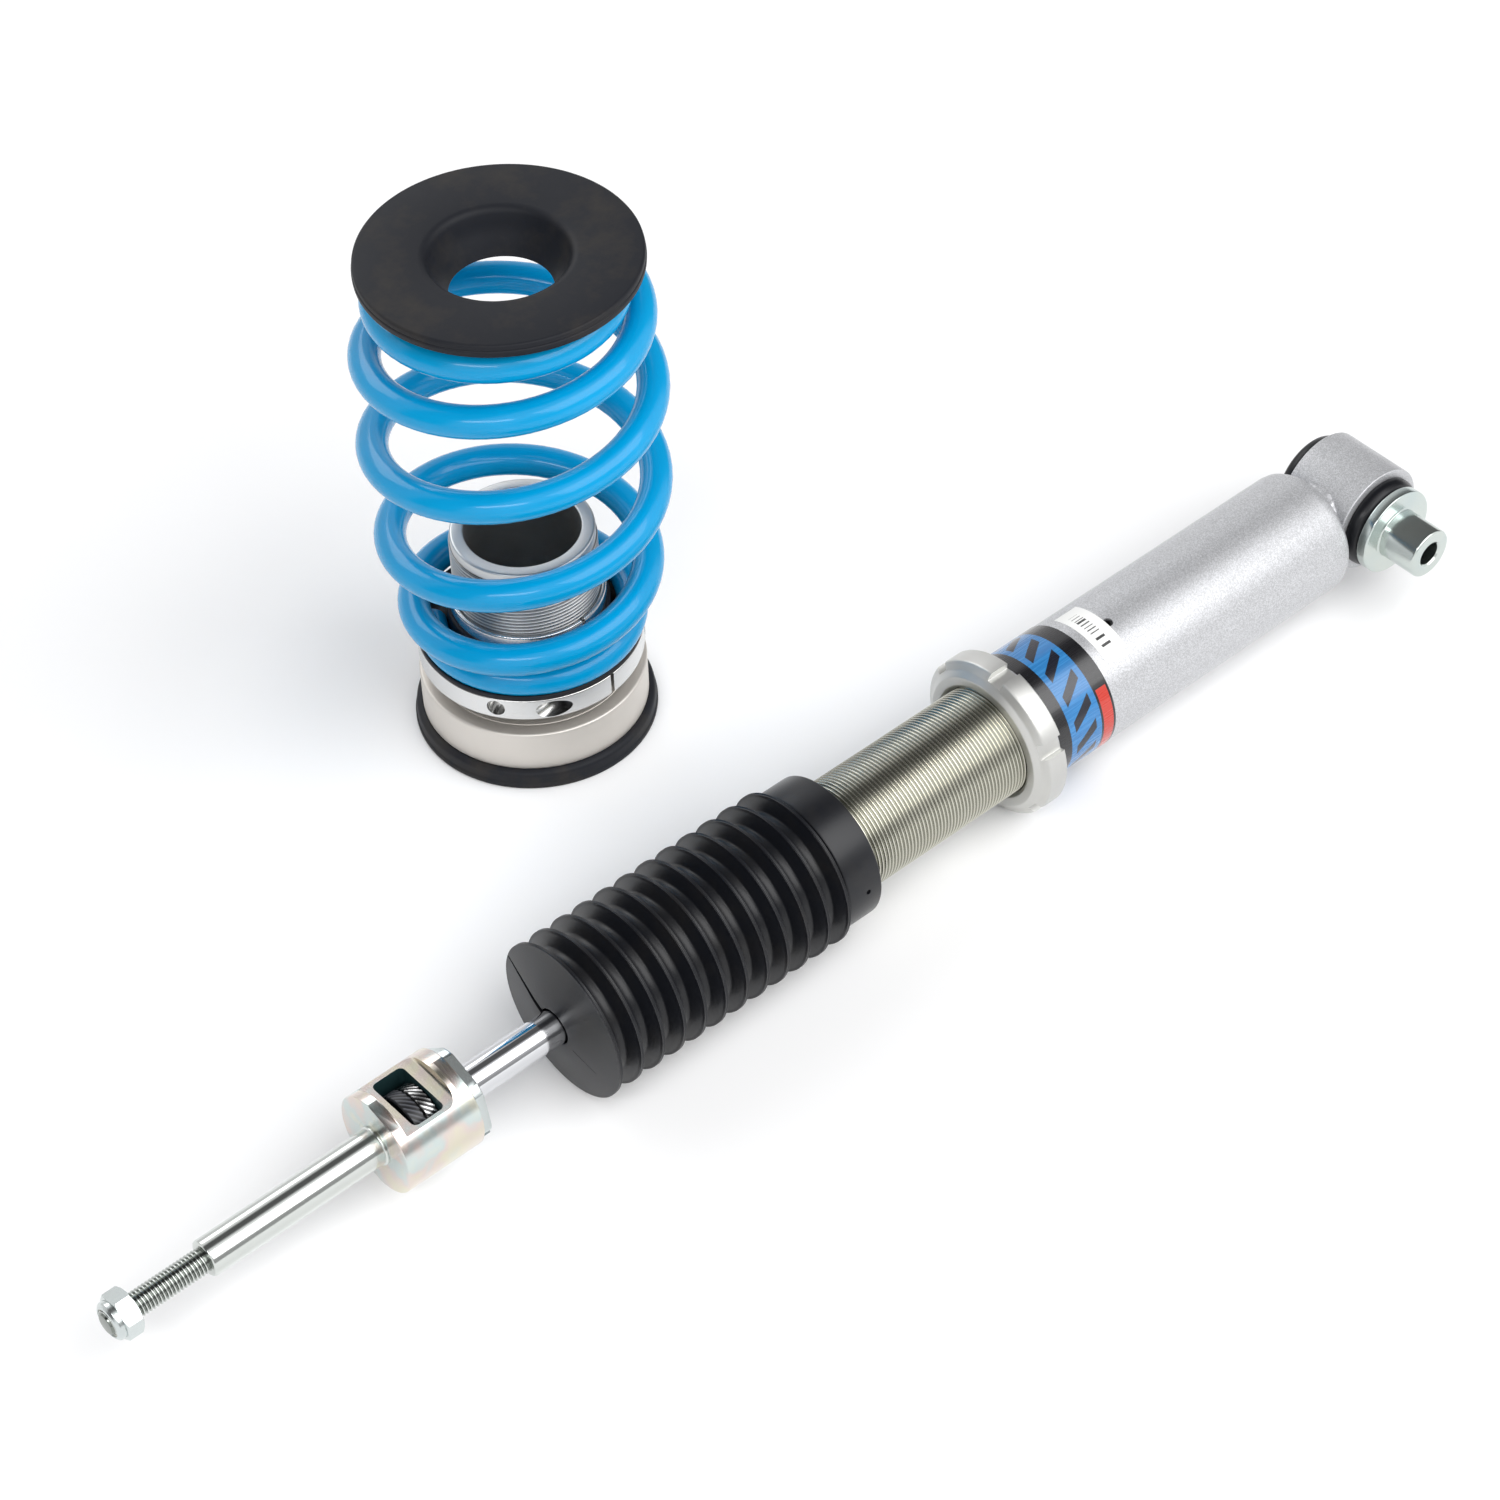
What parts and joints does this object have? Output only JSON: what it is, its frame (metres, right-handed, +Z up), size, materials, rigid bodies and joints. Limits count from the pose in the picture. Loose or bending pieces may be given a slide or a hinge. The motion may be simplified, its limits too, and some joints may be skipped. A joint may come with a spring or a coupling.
{
  "type": "strut assembly",
  "caption": "Rear suspension set lying as supplied: height-adjustable damper with eye bush, dust boot and damping adjuster, beside a coil spring on its threaded adjuster.",
  "frame": {"origin": "centre of the lower eye's bolt hole, on the damper's axis", "axes": "+X along the damper from the eye to the stud, +Y along the eye's bolt hole to the flanged side, +Z up from the floor both units lie on; the spring unit's axis is parallel to Z"},
  "size_m": [0.7605, 0.3175, 0.2717],
  "materials": {
    "silver_paint": "fine metallic satin",
    "black_rubber": "matte",
    "zinc": "clear zinc, satin",
    "rainbow_zinc": "iridescent zinc",
    "black_steel": "black oxide",
    "blue_label": "printed metallic film",
    "white_label": "printed paper",
    "satin_aluminium": "satin machined",
    "blasted_steel": "bead blasted",
    "sintered_steel": "sintered",
    "hard_chrome": "ground",
    "bright_steel": "turned",
    "band_polymer": "filled polymer",
    "bump_foam": "microcellular",
    "black_plastic": "anodised look",
    "insert_nylon": "nylon",
    "blue_powder": "gloss powder coat"
  },
  "bodies": {
    "mount": {"lower_body": "silver_paint", "lower_eye": "silver_paint", "bush_rubber": "black_rubber", "grub_screw": "black_steel", "label_band": "blue_label", "spec_label": "white_label"},
    "sleeve": {"bush_sleeve": "zinc"},
    "lock": {"lock_ring": "satin_aluminium"},
    "tube": {"damper_tube": "zinc", "base_cap": "zinc", "gland_nut": "black_steel", "rod_guide": "sintered_steel", "rod_seal": "black_rubber", "dust_boot": "black_rubber"},
    "divider": {"floating_piston": "satin_aluminium", "floating_seal": "black_rubber"},
    "rod": {"piston_rod": "hard_chrome", "piston": "sintered_steel", "piston_band": "band_polymer", "shim_stack": "bright_steel", "piston_nut": "bright_steel", "bump_stop": "bump_foam", "adjuster_housing": "rainbow_zinc", "extension_rod": "bright_steel"},
    "needle": {"needle_rod": "bright_steel"},
    "knob": {"damping_knob": "black_plastic"},
    "click": {"click_ring": "bright_steel"},
    "jam": {"jam_nut": "zinc"},
    "nut": {"top_nut": "zinc", "nut_insert": "insert_nylon"},
    "base": {"base_pad": "black_rubber", "base_cup": "blasted_steel", "threaded_sleeve": "zinc"},
    "seat": {"spring_isolator": "black_rubber", "coil_spring": "blue_powder"},
    "perch": {"perch_ring": "satin_aluminium", "clamp_screw": "bright_steel"},
    "top": {"top_pad": "black_rubber"}
  },
  "joints": [
    {"name": "sleeve_twist", "type": "hinge", "parent": "mount", "child": "sleeve", "pos_m": [0, 0, 0], "axis": [0, 1, 0], "range_deg": [-20, 20], "stiffness_Nm_per_rad": 40},
    {"name": "lock_turn", "type": "hinge", "parent": "mount", "child": "lock", "pos_m": [0.234, 0, 0], "axis": [1, 0, 0], "continuous": true},
    {"name": "tube_height", "type": "slide", "parent": "mount", "child": "tube", "axis": [1, 0, 0], "range_m": [-0.02, 0.03]},
    {"name": "rod_stroke", "type": "slide", "parent": "tube", "child": "rod", "axis": [-1, 0, 0], "range_m": [0, 0.09], "stiffness_N_per_m": 600, "springref_m": -0.05, "deforming": ["dust_boot"]},
    {"name": "divider_float", "type": "slide", "parent": "tube", "child": "divider", "axis": [-1, 0, 0], "range_m": [0, 0.0125]},
    {"name": "knob_turn", "type": "hinge", "parent": "rod", "child": "knob", "pos_m": [0.5786, 0, 0], "axis": [1, 0, 0], "range_deg": [-361, 361]},
    {"name": "needle_travel", "type": "slide", "parent": "rod", "child": "needle", "axis": [1, 0, 0], "range_m": [-0.001, 0.001]},
    {"name": "click_turn", "type": "hinge", "parent": "rod", "child": "click", "pos_m": [0.5719, 0, 0], "axis": [1, 0, 0], "continuous": true},
    {"name": "jam_turn", "type": "hinge", "parent": "rod", "child": "jam", "pos_m": [0.5532, 0, 0], "axis": [1, 0, 0], "continuous": true},
    {"name": "nut_turn", "type": "hinge", "parent": "rod", "child": "nut", "pos_m": [0.7247, 0, 0], "axis": [1, 0, 0], "continuous": true},
    {"name": "unit_lift", "type": "slide", "parent": "mount", "child": "base", "axis": [0, 0, 1], "range_m": [0, 0.1]},
    {"name": "perch_travel", "type": "slide", "parent": "base", "child": "seat", "axis": [0, 0, 1], "range_m": [-0.008, 0.03]},
    {"name": "perch_turn", "type": "hinge", "parent": "seat", "child": "perch", "pos_m": [0.3532, -0.1927, 0.0098], "axis": [0, 0, 1], "range_deg": [-1441, 5401]},
    {"name": "spring_stroke", "type": "slide", "parent": "seat", "child": "top", "axis": [0, 0, -1], "range_m": [0, 0.07], "stiffness_N_per_m": 60000, "deforming": ["coil_spring"]}
  ],
  "couplings": [
    {"joint": "divider_float", "follows": "rod_stroke", "ratio": 0.1266},
    {"joint": "knob_turn", "follows": "needle_travel", "rad_per_m": 6283.2},
    {"joint": "perch_turn", "follows": "perch_travel", "rad_per_m": 3141.6}
  ]
}
